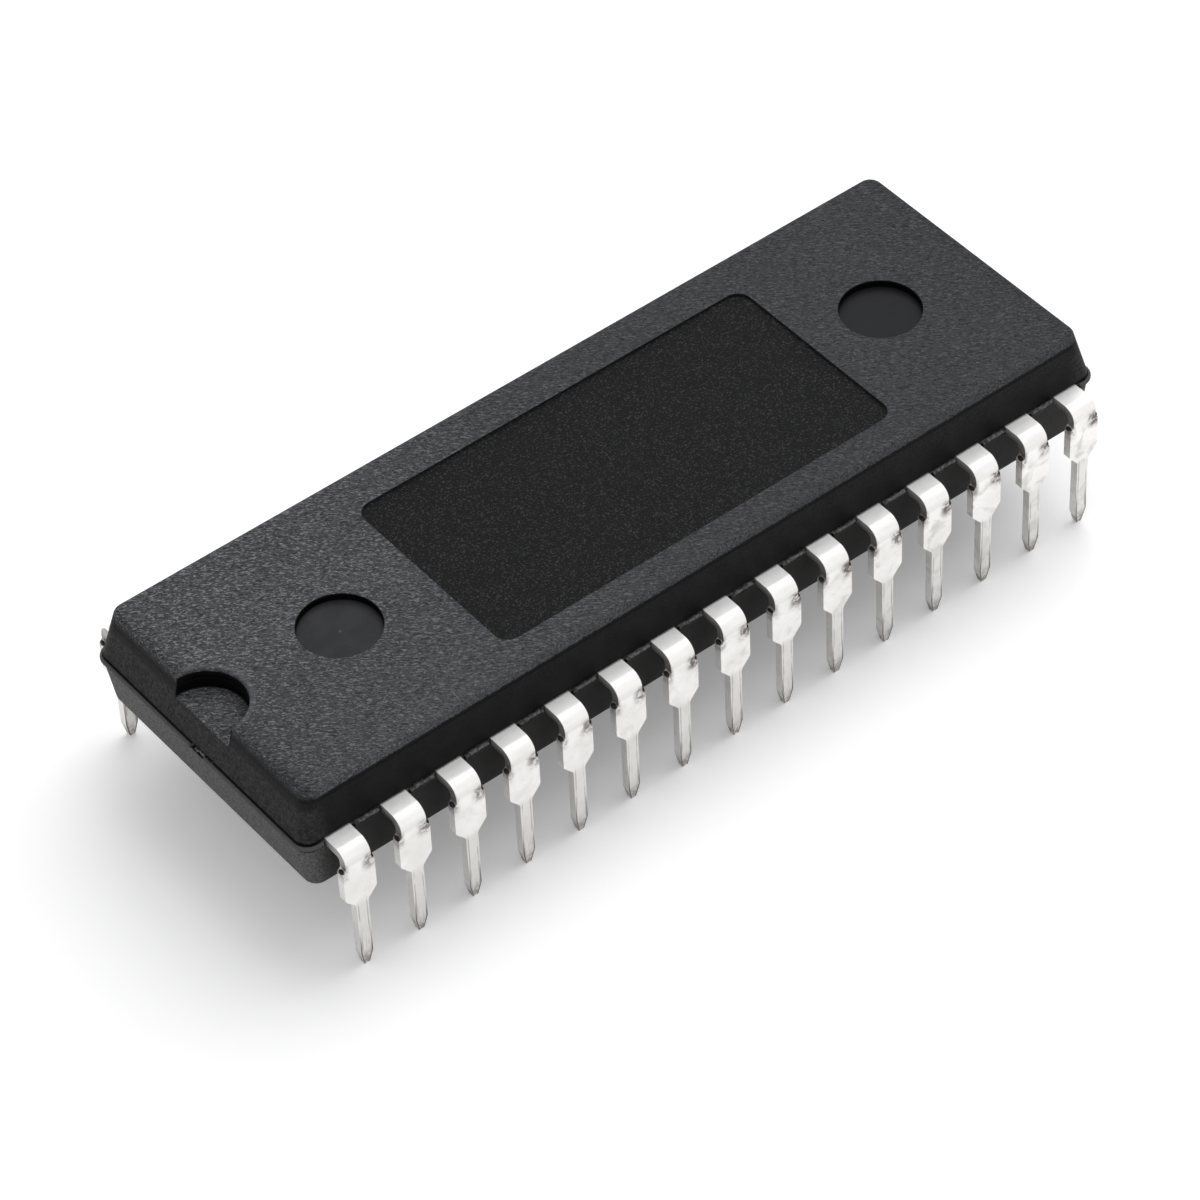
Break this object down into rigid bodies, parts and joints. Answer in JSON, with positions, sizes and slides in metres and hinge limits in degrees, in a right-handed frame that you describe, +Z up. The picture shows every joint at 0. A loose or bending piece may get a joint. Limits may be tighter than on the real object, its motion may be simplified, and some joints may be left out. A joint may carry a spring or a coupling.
{
  "type": "dual in-line integrated circuit",
  "caption": "Black moulded dual in-line integrated circuit with bent tinned leads along both sides, a pin 1 notch, and the lead frame, die and bond wires inside.",
  "frame": {"origin": "middle of the package at the level of the lead tips", "axes": "+X along the body away from the pin 1 notch, +Y across the body away from the row of pins 1 to 15, +Z up"},
  "size_m": [0.0272, 0.0108, 0.006],
  "materials": {
    "epoxy": "moulded black epoxy, grained on top and smooth at the sides",
    "tinned_leads": "tin plated, satin, lightly scratched",
    "lead_frame": "bare nickel-iron sheet",
    "adhesive": "silver-filled, dull",
    "silicon": "polished silicon",
    "gold": "drawn gold wire"
  },
  "bodies": {
    "root": {"body": "epoxy", "die_pad": "lead_frame", "die_attach": "adhesive", "die": "silicon", "bond_wires": "gold", "pin_01": "tinned_leads", "pin_02": "tinned_leads", "pin_03": "tinned_leads", "pin_04": "tinned_leads", "pin_05": "tinned_leads", "pin_06": "tinned_leads", "pin_07": "tinned_leads", "pin_08": "tinned_leads", "pin_09": "tinned_leads", "pin_10": "tinned_leads", "pin_11": "tinned_leads", "pin_12": "tinned_leads", "pin_13": "tinned_leads", "pin_14": "tinned_leads", "pin_15": "tinned_leads", "pin_16": "tinned_leads", "pin_17": "tinned_leads", "pin_18": "tinned_leads", "pin_19": "tinned_leads", "pin_20": "tinned_leads", "pin_21": "tinned_leads", "pin_22": "tinned_leads", "pin_23": "tinned_leads", "pin_24": "tinned_leads", "pin_25": "tinned_leads", "pin_26": "tinned_leads", "pin_27": "tinned_leads", "pin_28": "tinned_leads", "pin_29": "tinned_leads", "pin_30": "tinned_leads"}
  },
  "joints": []
}
